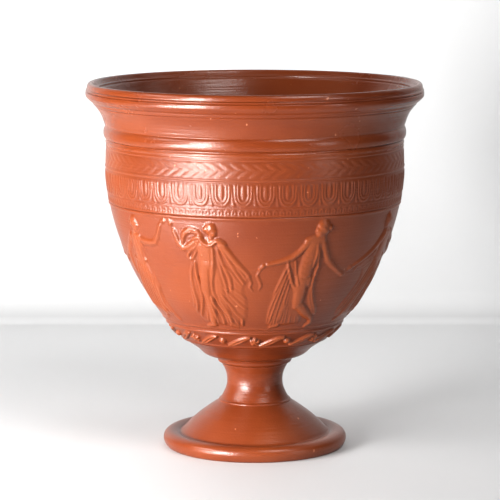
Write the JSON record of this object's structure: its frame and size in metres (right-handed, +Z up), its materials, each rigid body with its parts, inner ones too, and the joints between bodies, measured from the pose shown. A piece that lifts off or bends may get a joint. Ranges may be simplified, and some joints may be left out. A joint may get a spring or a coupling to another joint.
{
  "type": "terra sigillata goblet",
  "caption": "Footed drinking goblet of glossy red slip ware: a turned foot and short stem under a deep moulded bowl with a frieze of dancers, ornament borders and a flared rim.",
  "frame": {"origin": "on the table under the middle of the foot", "axes": "+Z up along the goblet's turning axis, -Y towards the side that the picture shows, +X to its right"},
  "size_m": [0.17, 0.17, 0.1854],
  "materials": {
    "red_slip": "glossy red-orange slip over a fine red clay body, with faint turning lines and light wear on the raised edges"
  },
  "bodies": {
    "root": {"goblet": "red_slip"}
  },
  "joints": []
}
